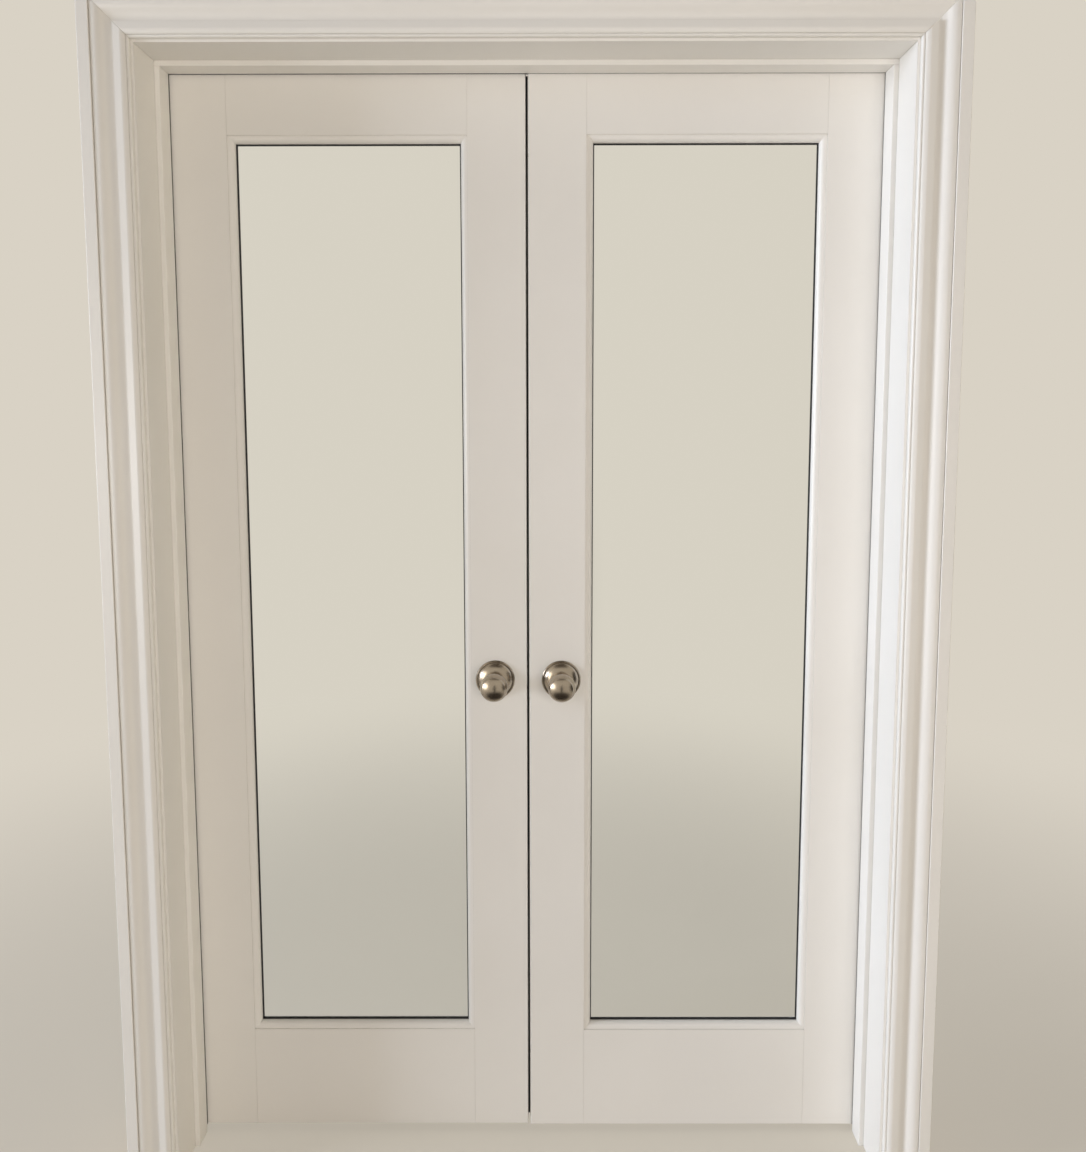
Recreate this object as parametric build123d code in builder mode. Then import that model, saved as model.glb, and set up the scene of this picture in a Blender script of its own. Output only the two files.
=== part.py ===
from build123d import *
import os

os.makedirs("parts", exist_ok=True)

# A pair of glazed doors in their frame, in millimetres. X runs to the right, Y away from the
# viewer, Z up from the finished floor. The leaves swing away from the viewer, toward +Y.

# Leaves
leaf_width = 650.0
leaf_height = 2032.0
leaf_thickness = 35.0
stile_face = 106.5
top_rail_face = 112.0
bottom_rail_face = 200.0
lock_bevel = 1.0
leaf_ease = 1.2
joint_ease = 0.4
nick_radius = 2.2

# Moulded edge round the glass
sticking_width = 12.7
sticking_quirk = 2.0
sticking_flat = 2.0
sticking_lip = 2.0

# Glazing
glass_thickness = 4.0
glass_bite = 9.0
gasket_wall = 1.5
gasket_sight = 2.0
mitre_gap = 0.1

# Rail tenons
tenon_length = 28.0
tenon_thickness = 9.0
tenon_shoulder = 18.0

# Gaps round the leaves
floor_gap = 12.0
head_gap = 3.0
hinge_gap = 3.0
meeting_gap = 3.5
stop_gap = 3.0
left_setback = 2.5

# Jambs and stops
jamb_depth = 166.7
jamb_thickness = 19.0
rabbet_depth = 6.5
stop_thickness = 9.5
stop_width = 42.0
stop_ease = 1.5

# Casing, measured on its section from the outer edge inward and out from the wall
reveal = 5.0
casing_width = 82.5
casing_thickness = 17.5
band_width = 20.5
band_ease = 1.0
quirk_width = 1.8
quirk_depth = 3.5
ovolo_start_drop = 1.9
ovolo_width = 17.2
ovolo_drop = 4.0
ovolo_tilt = 12.0
cove_width = 18.0
cove_drop = 4.5
bead_width = 11.5
bead_height = 12.5
bead_tilt = 1.0
lip_width = 8.5
lip_drop = 3.1
nose_height = 8.6
nose_quirk = 0.6
nose_fall = 2.6
casing_mitre_gap = 0.4
relief_depth = 1.5
relief_margin = 12.0
relief_slope = 1.5

# Hinges
hinge_height = 88.9
hinge_seat = 30.0
plate_thickness = 2.3
plate_corner = 6.0
barrel_radius = 5.6
barrel_offset = 6.5
pin_radius = 2.9
pin_head = 3.0
pin_head_radius = 4.6
pin_head_chamfer = 1.0
knuckle_count = 5
knuckle_gap = 0.2
knuckle_relief = 0.4
running_clearance = 0.05
top_hinge_drop = 178.0
bottom_hinge_rise = 279.0

# Hinge screws
screw_head_radius = 4.0
screw_shank_radius = 2.0
screw_length = 17.0
screw_end_margin = 14.0
screw_edge_margin = 8.0
screw_stagger = 9.0

# Knobs and roses
knob_height = 910.0
backset = 60.3
rose_radius = 37.2
rose_rim = 3.5
rose_rim_width = 3.5
rose_rim_ease = 1.5
rose_groove = 1.0
rose_height = 13.0
rose_crown_radius = 13.0
neck_radius = 11.0
neck_length = 36.0
knob_radius = 25.7
knob_waist = 63.0
knob_rim_radius = 21.5
knob_rim_height = 73.0
knob_step = 1.0
knob_projection = 80.0
spindle_size = 8.0
spindle_end = 34.0
rose_bolt_radius = 2.0
rose_bolt_spacing = 38.0
dummy_stud_radius = 3.0

# Tubular latch
cross_bore_radius = 27.0
latch_radius = 11.5
latch_tail = 12.0
latch_bolt_radius = 7.0
latch_bolt_length = 38.0
latch_bolt_nose = 2.5
latch_hub_clearance = 0.35
faceplate_width = 25.4
faceplate_height = 57.0
faceplate_thickness = 2.3
faceplate_setback = 0.1
faceplate_corner = 4.0
strike_height = 101.6
strike_thickness = 1.6
strike_hole_width = 17.0
strike_hole_height = 24.0
strike_pocket = 14.0

# Flush bolts in the inactive leaf
bolt_case_height = 152.0
bolt_case_width = 18.0
bolt_case_depth = 14.0
bolt_rod_radius = 4.0
bolt_rod_length = 100.0
bolt_rod_inset = 8.0
bolt_rod_sink = 1.0
top_bolt_throw = 12.0
bottom_bolt_throw = 20.0
thumb_width = 7.0
thumb_height = 12.0
thumb_drop = 60.0
thumb_recess = 0.8
thumb_clearance = 0.2
head_strike_length = 44.0
head_strike_thickness = 1.6
head_strike_hole = 11.0
head_strike_depth = 13.0

# Rubber strips on the back of the stops, clear of the closed leaves
stop_seal_width = 6.0
stop_seal_inset = 0.3
stop_seal_clearance = 0.3

# Seal between the leaves
seal_width = 3.6
seal_thickness = 3.0
seal_inset = 2.5
seal_kerf = 2.4
seal_kerf_depth = 6.0

# Places worked out from the sizes, symmetrical about X = 0
opening_half = leaf_width + meeting_gap / 2 + hinge_gap
casing_inner_half = opening_half + reveal
casing_outer_half = casing_inner_half + casing_width
leaf_bottom = floor_gap
leaf_top = floor_gap + leaf_height
head_z = leaf_top + head_gap
frame_top = head_z + jamb_thickness
casing_inner_z = head_z + reveal
casing_top = casing_inner_z + casing_width

# The depth is centred on Y = 0 between the front casing's face and the left far knob
jamb_front = (casing_thickness - jamb_depth - left_setback - knob_projection) / 2
jamb_back = jamb_front + jamb_depth
leaf_far = jamb_back
leaf_near = leaf_far - leaf_thickness
leaf_middle = (leaf_near + leaf_far) / 2
stop_back = leaf_near - stop_gap
stop_front = stop_back - stop_width

# The left leaf hangs a little further back than the right one
left_near = leaf_near + left_setback
left_middle = leaf_middle + left_setback
left_far = leaf_far + left_setback

# Leaf places on the right side
leaf_hinge_x = opening_half - hinge_gap
leaf_lock_x = meeting_gap / 2
hinge_face_x = leaf_hinge_x - stile_face
lock_face_x = leaf_lock_x + stile_face
pane_face_top = leaf_top - top_rail_face
pane_face_bottom = leaf_bottom + bottom_rail_face
gasket_thickness = glass_thickness + 2 * gasket_wall
rebate_near = leaf_middle - gasket_thickness / 2
rebate_far = leaf_middle + gasket_thickness / 2
pane_width = hinge_face_x - lock_face_x - 2 * sticking_width
pane_height = pane_face_top - pane_face_bottom - 2 * sticking_width
pane_x = (hinge_face_x + lock_face_x) / 2
pane_z = (pane_face_top + pane_face_bottom) / 2

# Hardware places on the right side
pin_x = opening_half - hinge_gap / 2
pin_y = jamb_back + barrel_offset
hinge_bottoms = [leaf_bottom + bottom_hinge_rise, leaf_top - top_hinge_drop - hinge_height]
hinge_bottoms.insert(1, sum(hinge_bottoms) / 2)
knob_x = leaf_lock_x + lock_bevel + backset
knob_z = leaf_bottom + knob_height
spindle_diagonal = spindle_size * 2**0.5
edge_plate_x = leaf_lock_x + lock_bevel - faceplate_setback
bolt_rod_x = edge_plate_x + bolt_rod_inset
depth_dir = Vector(0, 1, 0)


def section_plane(origin, inward):
    """Plane across a moulding: local X runs inward over its width, local Y runs toward +Y."""
    return Plane(origin=origin, x_dir=inward, z_dir=Vector(*inward).cross(depth_dir))


def leaf_section(face, bevel=0.0):
    """Section of a stile or rail: full thickness over its face, then the moulded edge."""
    inner = face + sticking_width
    with BuildSketch() as section:
        with BuildLine():
            Polyline(
                (bevel, leaf_near),
                (face, leaf_near),
                (face, rebate_far),
                (inner, rebate_far),
                (inner, rebate_far + sticking_lip),
            )
            TangentArc(
                (face + sticking_flat, leaf_far - sticking_quirk),
                (inner, rebate_far + sticking_lip),
                tangent=(1, 0),
            )
            Polyline(
                (face + sticking_flat, leaf_far - sticking_quirk),
                (face, leaf_far - sticking_quirk),
                (face, leaf_far),
                (0, leaf_far),
                (bevel, leaf_near),
            )
        make_face()
        fillet(section.vertices().sort_by(Axis.X)[:2], radius=leaf_ease)
    return section.sketch


def bead_section():
    """Section of a glazing bead: a flat, a quarter round and a lip that bears on the gasket."""
    with BuildSketch() as section:
        with BuildLine():
            Polyline(
                (0, rebate_near),
                (0, leaf_near + sticking_quirk),
                (sticking_flat, leaf_near + sticking_quirk),
            )
            TangentArc(
                (sticking_flat, leaf_near + sticking_quirk),
                (sticking_width, rebate_near - sticking_lip),
                tangent=(1, 0),
            )
            Polyline(
                (sticking_width, rebate_near - sticking_lip),
                (sticking_width, rebate_near),
                (0, rebate_near),
            )
        make_face()
    return section.sketch


def casing_section(wall, out):
    """Section of the casing from its outer edge inward, standing off the wall plane toward out.

    A flat band, a quirk, an ovolo that runs on into a cove, a bead and a small rounded nose.
    """
    ovolo_start = band_width + quirk_width
    ovolo_height = casing_thickness - ovolo_start_drop
    ovolo_end = ovolo_start + ovolo_width
    cove_height = ovolo_height - ovolo_drop
    cove_end_height = cove_height - cove_drop
    bead_start = ovolo_end + cove_width
    bead_end = bead_start + bead_width
    nose = bead_end + lip_width
    nose_middle = (nose + casing_width) / 2
    rise = Vector(1, 0).rotate(Axis.Z, out * ovolo_tilt)

    def at(along, height):
        return (along, wall + out * height)

    with BuildSketch() as section:
        with BuildLine():
            Polyline(
                at(0, 0),
                at(0, casing_thickness),
                at(band_width, casing_thickness),
                at(band_width, casing_thickness - quirk_depth),
                at(ovolo_start, ovolo_height),
            )
            ovolo = TangentArc(
                at(ovolo_start, ovolo_height), at(ovolo_end, cove_height), tangent=rise
            )
            TangentArc(
                at(ovolo_end, cove_height), at(bead_start, cove_end_height), tangent=ovolo % 1
            )
            Polyline(
                at(bead_start, cove_end_height),
                at(bead_start, bead_height - bead_tilt),
                at(bead_end, bead_height),
            )
            TangentArc(at(bead_end, bead_height), at(nose, bead_height - lip_drop), tangent=(1, 0))
            Line(at(nose, bead_height - lip_drop), at(nose, nose_height - nose_quirk))
            ThreePointArc(
                at(nose, nose_height - nose_quirk),
                at(nose_middle, nose_height),
                at(casing_width, nose_height - nose_fall),
            )
            Polyline(
                at(casing_width, nose_height - nose_fall),
                at(casing_width, 0),
                at(casing_width - jamb_thickness, 0),
                at(casing_width - jamb_thickness - relief_slope, relief_depth),
                at(relief_margin + relief_slope, relief_depth),
                at(relief_margin, 0),
                at(0, 0),
            )
        make_face()
        outermost = -1 if out > 0 else 0
        fillet(section.vertices().group_by(Axis.Y)[outermost], radius=band_ease)
    return section.sketch


def mirrored(part, setback=0.0):
    """Copy of a right-hand piece on the left, set back toward +Y."""
    with BuildPart() as left:
        with Locations((0, setback, 0)):
            add(mirror(part, about=Plane.YZ, mode=Mode.PRIVATE))
    return left


def far_side(part, middle):
    """Copy of a piece from the near face of a leaf on its far face; middle is the leaf's."""
    with BuildPart() as far:
        mirror(part, about=Plane.XZ.offset(-middle))
    return far


# Screws, hinge seats and hinges of the right leaf


def hinge_screws(x_face, into):
    """Three countersunk screws in each hinge plate, driven from x_face along X."""
    edge = jamb_back - screw_edge_margin
    with BuildPart() as screws:
        for z in hinge_bottoms:
            places = [
                (edge, z + screw_end_margin),
                (edge - screw_stagger, z + hinge_height / 2),
                (edge, z + hinge_height - screw_end_margin),
            ]
            planes = [Plane(origin=(x_face, y, z), z_dir=(into, 0, 0)) for y, z in places]
            with Locations(*planes):
                Cone(
                    screw_head_radius,
                    screw_shank_radius,
                    plate_thickness,
                    align=(Align.CENTER, Align.CENTER, Align.MIN),
                )
                Cylinder(
                    screw_shank_radius,
                    screw_length,
                    align=(Align.CENTER, Align.CENTER, Align.MIN),
                )
    return screws


def plate_blanks(x_low):
    """Three hinge plates standing in their seats, from the seat's end out to the pin."""
    depth = hinge_seat + barrel_offset
    places = [
        (x_low + plate_thickness / 2, pin_y - depth / 2, z + hinge_height / 2)
        for z in hinge_bottoms
    ]
    with BuildPart() as blanks:
        with Locations(*places):
            Box(plate_thickness, depth, hinge_height)
        seat_corners = blanks.edges().filter_by(Axis.X).group_by(Axis.Y)[0]
        fillet(seat_corners, radius=plate_corner)
    return blanks.part


def hinge_plates(blanks, screws, first_knuckle):
    """Plates with every second knuckle, bored for the pin and cut clear of the other leaf's."""
    knuckle_height = (hinge_height - (knuckle_count - 1) * knuckle_gap) / knuckle_count
    pitch = knuckle_height + knuckle_gap
    knuckles = [
        (k, (pin_x, pin_y, z + k * pitch + knuckle_height / 2))
        for z in hinge_bottoms
        for k in range(knuckle_count)
    ]
    own = [place for k, place in knuckles if k % 2 == first_knuckle]
    other = [place for k, place in knuckles if k % 2 != first_knuckle]
    with BuildPart() as plates:
        add(blanks)
        with Locations(*own):
            Cylinder(barrel_radius, knuckle_height)
        with Locations(*other):
            Cylinder(
                barrel_radius + knuckle_relief,
                knuckle_height + 2 * knuckle_gap,
                mode=Mode.SUBTRACT,
            )
        with Locations(*[(pin_x, pin_y, z + hinge_height / 2) for z in hinge_bottoms]):
            Cylinder(pin_radius + running_clearance, hinge_height, mode=Mode.SUBTRACT)
        add(screws.part, mode=Mode.SUBTRACT)
    return plates


frame_seats = plate_blanks(opening_half)
door_seats = plate_blanks(leaf_hinge_x - plate_thickness)
right_frame_hinge_screws = hinge_screws(opening_half, 1)
right_door_hinge_screws = hinge_screws(leaf_hinge_x, -1)
right_frame_hinge_plates = hinge_plates(frame_seats, right_frame_hinge_screws, 0)
right_door_hinge_plates = hinge_plates(door_seats, right_door_hinge_screws, 1)

with BuildPart() as right_hinge_pins:
    with Locations(*[(pin_x, pin_y, z + hinge_height / 2) for z in hinge_bottoms]):
        Cylinder(pin_radius, hinge_height)
    with Locations(*[(pin_x, pin_y, z + hinge_height) for z in hinge_bottoms]):
        Cylinder(pin_head_radius, pin_head, align=(Align.CENTER, Align.CENTER, Align.MIN))
    with Locations(*[(pin_x, pin_y, z) for z in hinge_bottoms]):
        Cylinder(pin_head_radius, pin_head, align=(Align.CENTER, Align.CENTER, Align.MAX))
    head_rims = right_hinge_pins.edges().filter_by(GeomType.CIRCLE).filter_by(
        lambda edge: edge.radius == pin_head_radius
    )
    chamfer(head_rims, length=pin_head_chamfer)

# Flush bolts in the lock edge of the inactive leaf, one at each end


def flush_bolt(end_z, outward, throw):
    """Case and sliding rod of one flush bolt; outward is +1 at the top end and -1 at the foot."""
    case_z = end_z - outward * bolt_case_height / 2
    rod_end = end_z - outward * bolt_rod_sink
    thumb_z = rod_end - outward * thumb_drop
    thumb_x = edge_plate_x + thumb_recess
    with BuildPart() as rod:
        with Locations((bolt_rod_x, leaf_middle, rod_end - outward * bolt_rod_length / 2)):
            Cylinder(bolt_rod_radius, bolt_rod_length)
        with Locations((thumb_x, leaf_middle, thumb_z)):
            Box(
                bolt_rod_x - thumb_x,
                thumb_width,
                thumb_height,
                align=(Align.MIN, Align.CENTER, Align.CENTER),
            )
    bore_length = bolt_rod_length + bolt_rod_sink
    slot_height = thumb_height + throw + 2 * thumb_clearance
    with BuildPart() as case:
        with Locations((edge_plate_x + bolt_case_depth / 2, leaf_middle, case_z)):
            Box(bolt_case_depth, bolt_case_width, bolt_case_height)
        with Locations((bolt_rod_x, leaf_middle, end_z - outward * bore_length / 2)):
            Cylinder(bolt_rod_radius + running_clearance, bore_length, mode=Mode.SUBTRACT)
        with Locations((edge_plate_x, leaf_middle, thumb_z + outward * throw / 2)):
            Box(
                bolt_rod_inset,
                thumb_width + 2 * thumb_clearance,
                slot_height,
                align=(Align.MIN, Align.CENTER, Align.CENTER),
                mode=Mode.SUBTRACT,
            )
    return case, rod


top_bolt_case, top_bolt_rod = flush_bolt(leaf_top, 1, top_bolt_throw)
bottom_bolt_case, bottom_bolt_rod = flush_bolt(leaf_bottom, -1, bottom_bolt_throw)

# Frame: side jambs with hinge seats, head jamb in their rabbets, stops

with BuildPart() as jamb_blank:
    with BuildSketch(Plane.XY):
        with Locations((opening_half, jamb_front)):
            Rectangle(jamb_thickness, jamb_depth, align=(Align.MIN, Align.MIN))
    extrude(amount=frame_top)
    with BuildSketch(Plane.XY.offset(head_z)):
        with Locations((opening_half, jamb_front)):
            Rectangle(rabbet_depth, jamb_depth, align=(Align.MIN, Align.MIN))
    extrude(amount=jamb_thickness, mode=Mode.SUBTRACT)

with BuildPart() as right_jamb:
    add(jamb_blank.part)
    add([frame_seats, right_frame_hinge_screws.part], mode=Mode.SUBTRACT)

with BuildPart() as left_jamb:
    add(mirrored(jamb_blank.part).part)
    add(mirrored(frame_seats, left_setback).part, mode=Mode.SUBTRACT)
    add(mirrored(right_frame_hinge_screws.part, left_setback).part, mode=Mode.SUBTRACT)

with BuildPart() as head_bolt_strike:
    with BuildSketch(Plane.XY.offset(head_z)):
        with Locations((bolt_rod_x, leaf_middle)):
            RectangleRounded(head_strike_length, bolt_case_width, faceplate_corner)
            Rectangle(head_strike_hole, head_strike_hole, mode=Mode.SUBTRACT)
    extrude(amount=head_strike_thickness)

with BuildPart() as head_jamb:
    with BuildSketch(Plane.XY.offset(head_z)):
        with Locations((0, jamb_front)):
            Rectangle(
                2 * (opening_half + rabbet_depth), jamb_depth, align=(Align.CENTER, Align.MIN)
            )
    extrude(amount=jamb_thickness)
    add(head_bolt_strike.part, mode=Mode.SUBTRACT)
    with BuildSketch(Plane.XY.offset(head_z)):
        with Locations((bolt_rod_x, leaf_middle)):
            Rectangle(head_strike_hole, head_strike_hole)
    extrude(amount=head_strike_depth, mode=Mode.SUBTRACT)

with BuildPart() as right_stop:
    with BuildSketch(Plane.XY):
        with Locations((opening_half, stop_front)):
            Rectangle(stop_thickness, stop_width, align=(Align.MAX, Align.MIN))
    extrude(amount=head_z - stop_thickness)
    stop_arrises = right_stop.edges().filter_by(Axis.Z).group_by(Axis.X)[0]
    fillet(stop_arrises.sort_by(Axis.Y)[0], radius=stop_ease)

with BuildPart() as head_stop:
    with BuildSketch(Plane.XY.offset(head_z - stop_thickness)):
        with Locations((0, stop_front)):
            Rectangle(2 * opening_half, stop_width, align=(Align.CENTER, Align.MIN))
    extrude(amount=stop_thickness)
    stop_arrises = head_stop.edges().filter_by(Axis.X).group_by(Axis.Z)[0]
    fillet(stop_arrises.sort_by(Axis.Y)[0], radius=stop_ease)


def stop_seal(room):
    """Strip on the back of the right stop and half the head stop, in the room before a leaf."""
    inner_x = opening_half - stop_thickness + stop_seal_inset
    inner_height = head_z - stop_thickness + stop_seal_inset - leaf_bottom
    low_corner = (Align.MIN, Align.MIN)
    with BuildPart() as seal:
        with BuildSketch(Plane.XZ.offset(-stop_back)):
            with Locations((0, leaf_bottom)):
                Rectangle(
                    inner_x + stop_seal_width, inner_height + stop_seal_width, align=low_corner
                )
                Rectangle(inner_x, inner_height, align=low_corner, mode=Mode.SUBTRACT)
        extrude(amount=stop_seal_clearance - room)
    return seal


right_stop_seal = stop_seal(stop_gap)
left_stop_seal = mirrored(stop_seal(stop_gap + left_setback).part)

# Casing on both sides of the wall, mitred at the top corners, where the joints have opened
# a little


def casing_leg(wall, out):
    """Right-hand upright of the casing, cut on the mitre at its top."""
    with BuildPart() as leg:
        with BuildSketch(section_plane((casing_outer_half, 0, casing_top), (-1, 0, 0))):
            add(casing_section(wall, out))
        extrude(amount=casing_top)
        mitre = Plane(origin=(casing_outer_half, 0, casing_top), z_dir=(1, 0, -1))
        split(bisect_by=mitre.offset(casing_mitre_gap / 2), keep=Keep.TOP)
    return leg


def casing_head(wall, out):
    """Head of the casing, cut on the mitre at both ends."""
    with BuildPart() as head:
        with BuildSketch(section_plane((-casing_outer_half, 0, casing_top), (0, 0, -1))):
            add(casing_section(wall, out))
        extrude(amount=2 * casing_outer_half)
        for side in (-1, 1):
            mitre = Plane(origin=(side * casing_outer_half, 0, casing_top), z_dir=(-side, 0, 1))
            split(bisect_by=mitre.offset(casing_mitre_gap / 2), keep=Keep.TOP)
    return head


front_casing_right = casing_leg(jamb_front, -1)
front_casing_head = casing_head(jamb_front, -1)
back_casing_right = casing_leg(jamb_back, 1)
back_casing_head = casing_head(jamb_back, 1)

# Stiles and rails: the moulded edge runs the whole length of each stile, the rails are coped
# over it and hold in the stiles by stub tenons


def tenon_bar(low, high):
    """Bar through a rail whose two ends are its tenons."""
    length = hinge_face_x - lock_face_x + 2 * tenon_length
    with BuildPart() as bar:
        with Locations((pane_x, rebate_far - tenon_thickness / 2, (low + high) / 2)):
            Box(length, tenon_thickness, high - low)
    return bar.part


def ease_ends(stile):
    """Round the long arrises at both ends of a stile, which run on from those of the rails."""
    arrises = stile.edges().filter_by(Axis.X).group_by(Axis.Y)
    fillet(arrises[0] + arrises[-1], radius=leaf_ease)


top_tenons = tenon_bar(pane_face_top + tenon_shoulder, leaf_top - tenon_shoulder)
bottom_tenons = tenon_bar(leaf_bottom + tenon_shoulder, pane_face_bottom - tenon_shoulder)

with BuildPart() as right_hinge_stile:
    with BuildSketch(section_plane((leaf_hinge_x, 0, leaf_top), (-1, 0, 0))):
        add(leaf_section(stile_face))
    extrude(amount=leaf_height)
    ease_ends(right_hinge_stile)
    add([top_tenons, bottom_tenons, door_seats], mode=Mode.SUBTRACT)
    add(right_door_hinge_screws.part, mode=Mode.SUBTRACT)

with BuildPart() as lock_stile_blank:
    with BuildSketch(section_plane((leaf_lock_x, 0, leaf_bottom), (1, 0, 0))):
        add(leaf_section(stile_face, lock_bevel))
    extrude(amount=leaf_height)
    ease_ends(lock_stile_blank)
    add([top_tenons, bottom_tenons], mode=Mode.SUBTRACT)


def rail(origin, inward, face, tenons):
    """Rail coped over the moulded edges of both stiles."""
    with BuildPart() as piece:
        with BuildSketch(section_plane(origin, inward)):
            add(leaf_section(face))
        extrude(amount=hinge_face_x - lock_face_x)
        add(tenons)
        add([right_hinge_stile.part, lock_stile_blank.part], mode=Mode.SUBTRACT)
        shoulders = piece.edges().filter_by(Axis.Z).group_by(Axis.Y)
        chamfer(shoulders[0] + shoulders[-1], length=joint_ease)
    return piece


right_top_rail = rail((lock_face_x, 0, leaf_top), (0, 0, -1), top_rail_face, top_tenons)
right_bottom_rail = rail(
    (hinge_face_x, 0, leaf_bottom), (0, 0, 1), bottom_rail_face, bottom_tenons
)

# Glass in its gasket, held by four mitred beads on the near side


def pane_plane(y):
    """Plane across the middle of the right pane, facing away from the viewer."""
    return Plane(origin=(pane_x, y, pane_z), x_dir=(1, 0, 0), z_dir=(0, 1, 0))


with BuildPart() as right_glass:
    with BuildSketch(pane_plane(rebate_near + gasket_wall)):
        Rectangle(pane_width + 2 * glass_bite, pane_height + 2 * glass_bite)
    extrude(amount=glass_thickness)

with BuildPart() as right_gasket:
    gasket_reach = 2 * (glass_bite + gasket_wall)
    with BuildSketch(pane_plane(rebate_near)):
        Rectangle(pane_width + gasket_reach, pane_height + gasket_reach)
        Rectangle(
            pane_width - 2 * gasket_sight, pane_height - 2 * gasket_sight, mode=Mode.SUBTRACT
        )
    extrude(amount=gasket_thickness)
    add(right_glass.part, mode=Mode.SUBTRACT)


def bead(origin, inward, length):
    """One glazing bead; origin is the corner of the rebate where it starts."""
    plane = section_plane(origin, inward)
    end = plane.origin + plane.z_dir * (length - mitre_gap)
    with BuildPart() as piece:
        with BuildSketch(plane):
            add(bead_section())
        extrude(amount=length)
        split(bisect_by=Plane(origin=plane.origin, z_dir=plane.z_dir - plane.x_dir))
        split(bisect_by=Plane(origin=end, z_dir=-plane.z_dir - plane.x_dir))
    return piece.part


with BuildPart() as right_glazing_beads:
    across = hinge_face_x - lock_face_x
    upright = pane_face_top - pane_face_bottom
    add(bead((lock_face_x, 0, pane_face_bottom), (1, 0, 0), upright))
    add(bead((hinge_face_x, 0, pane_face_top), (-1, 0, 0), upright))
    add(bead((lock_face_x, 0, pane_face_top), (0, 0, -1), across))
    add(bead((hinge_face_x, 0, pane_face_bottom), (0, 0, 1), across))

# Roses and knobs, turned about the knob axis

knob_axis = Axis((knob_x, 0, knob_z), (0, -1, 0))
knob_section = Plane(origin=(knob_x, leaf_near, knob_z), x_dir=(1, 0, 0), z_dir=(0, 0, -1))

with BuildPart() as right_near_rose:
    with BuildSketch(knob_section):
        with BuildLine():
            rim_inner = rose_radius - rose_rim_width
            Polyline(
                (neck_radius + running_clearance, rose_height),
                (neck_radius + running_clearance, 0),
                (rose_radius, 0),
                (rose_radius, rose_rim - rose_rim_ease),
                (rose_radius - rose_rim_ease, rose_rim),
                (rim_inner, rose_rim),
                (rim_inner, rose_rim - rose_groove),
            )
            TangentArc(
                (rose_crown_radius, rose_height),
                (rim_inner, rose_rim - rose_groove),
                tangent=(1, 0),
            )
            Line(
                (rose_crown_radius, rose_height), (neck_radius + running_clearance, rose_height)
            )
        make_face()
    revolve(axis=knob_axis)

with BuildPart() as knob_blank:
    with BuildSketch(knob_section):
        with BuildLine():
            Polyline((0, knob_projection), (0, 0), (neck_radius, 0), (neck_radius, neck_length))
            ThreePointArc(
                (neck_radius, neck_length),
                (knob_radius, knob_waist),
                (knob_rim_radius, knob_rim_height),
            )
            Line(
                (knob_rim_radius, knob_rim_height),
                (knob_rim_radius - knob_step, knob_rim_height + knob_step),
            )
            TangentArc(
                (0, knob_projection),
                (knob_rim_radius - knob_step, knob_rim_height + knob_step),
                tangent=(1, 0),
            )
        make_face()
    revolve(axis=knob_axis)

with BuildPart() as dummy_stud:
    with BuildSketch(Plane(origin=(knob_x, leaf_near - spindle_end, knob_z), z_dir=(0, 1, 0))):
        Circle(dummy_stud_radius)
    extrude(amount=leaf_thickness + 2 * spindle_end)

with BuildPart() as right_near_knob:
    add(knob_blank.part)
    add(dummy_stud.part, mode=Mode.SUBTRACT)

with BuildPart() as spindle:
    with BuildSketch(Plane(origin=(-knob_x, left_near - spindle_end, knob_z), z_dir=(0, 1, 0))):
        Rectangle(spindle_size, spindle_size)
    extrude(amount=leaf_thickness + 2 * spindle_end)

with BuildPart() as left_near_knob:
    add(mirrored(knob_blank.part, left_setback).part)
    add(spindle.part, mode=Mode.SUBTRACT)

right_far_rose = far_side(right_near_rose.part, leaf_middle)
right_far_knob = far_side(right_near_knob.part, leaf_middle)
left_far_knob = far_side(left_near_knob.part, left_middle)

with BuildPart() as left_rose_bolts:
    with BuildSketch(Plane(origin=(-knob_x, left_near, knob_z), x_dir=(1, 0, 0), z_dir=(0, 1, 0))):
        with GridLocations(0, rose_bolt_spacing, 1, 2):
            Circle(rose_bolt_radius)
    extrude(amount=leaf_thickness)

# Tubular latch of the active leaf, drawn back, and its strike on the inactive leaf

latch_plane = Plane(
    origin=(-edge_plate_x, left_middle, knob_z), x_dir=(0, 1, 0), z_dir=(-1, 0, 0)
)
strike_plane = Plane(
    origin=(edge_plate_x, leaf_middle, knob_z), x_dir=(0, 1, 0), z_dir=(1, 0, 0)
)
latch_case_length = knob_x - edge_plate_x + latch_tail - faceplate_thickness

with BuildPart() as latch_case:
    with BuildSketch(latch_plane.offset(faceplate_thickness)):
        Circle(latch_radius)
    extrude(amount=latch_case_length)
    with BuildSketch(latch_plane):
        Circle(latch_bolt_radius + running_clearance)
    extrude(amount=latch_bolt_length, mode=Mode.SUBTRACT)
    with BuildSketch(Plane(origin=(-knob_x, left_near, knob_z), z_dir=(0, 1, 0))):
        Circle(spindle_diagonal / 2 + latch_hub_clearance)
    extrude(amount=leaf_thickness, mode=Mode.SUBTRACT)

with BuildPart() as latch_faceplate:
    with BuildSketch(latch_plane):
        RectangleRounded(faceplate_width, faceplate_height, faceplate_corner)
        Circle(latch_bolt_radius + running_clearance, mode=Mode.SUBTRACT)
    extrude(amount=faceplate_thickness)

with BuildPart() as latch_bolt:
    with BuildSketch(latch_plane):
        Circle(latch_bolt_radius)
    extrude(amount=latch_bolt_length)
    bevel_start = (-edge_plate_x, left_middle + latch_bolt_radius - latch_bolt_nose, knob_z)
    split(bisect_by=Plane(origin=bevel_start, z_dir=(-1, 1, 0)), keep=Keep.TOP)

with BuildPart() as strike_plate:
    with BuildSketch(strike_plane):
        RectangleRounded(faceplate_width, strike_height, faceplate_corner)
        with Locations((left_setback, 0)):
            Rectangle(strike_hole_width, strike_hole_height, mode=Mode.SUBTRACT)
    extrude(amount=strike_thickness)

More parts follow.
